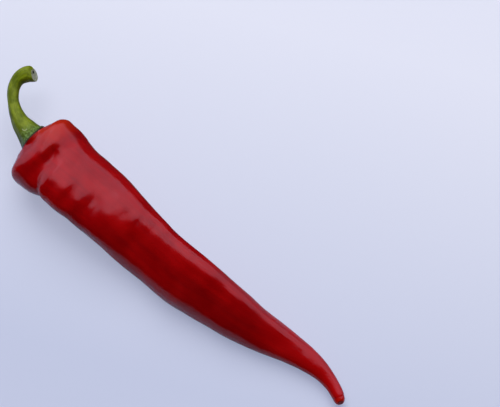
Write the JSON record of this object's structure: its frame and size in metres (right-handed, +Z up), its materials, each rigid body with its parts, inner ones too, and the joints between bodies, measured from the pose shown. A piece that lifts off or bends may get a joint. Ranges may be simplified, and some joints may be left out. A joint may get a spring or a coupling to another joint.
{
  "type": "cayenne pepper",
  "caption": "Long glossy red chilli pod lying on its side, tapering from a lobed shoulder to a bent tip, with a hooked green stem and calyx.",
  "frame": {"origin": "middle of the underside of the pepper's box, on the surface that it lies on", "axes": "+X along the pod from the stem end to the tip, +Z up, +Y to the side that the stem's hook and the pod's tail bend to"},
  "size_m": [0.1712, 0.0364, 0.0266],
  "materials": {
    "pod_skin": "gloss",
    "green_stem": "satin"
  },
  "bodies": {
    "root": {"pod": "pod_skin", "stem_with_calyx": "green_stem"}
  },
  "joints": []
}
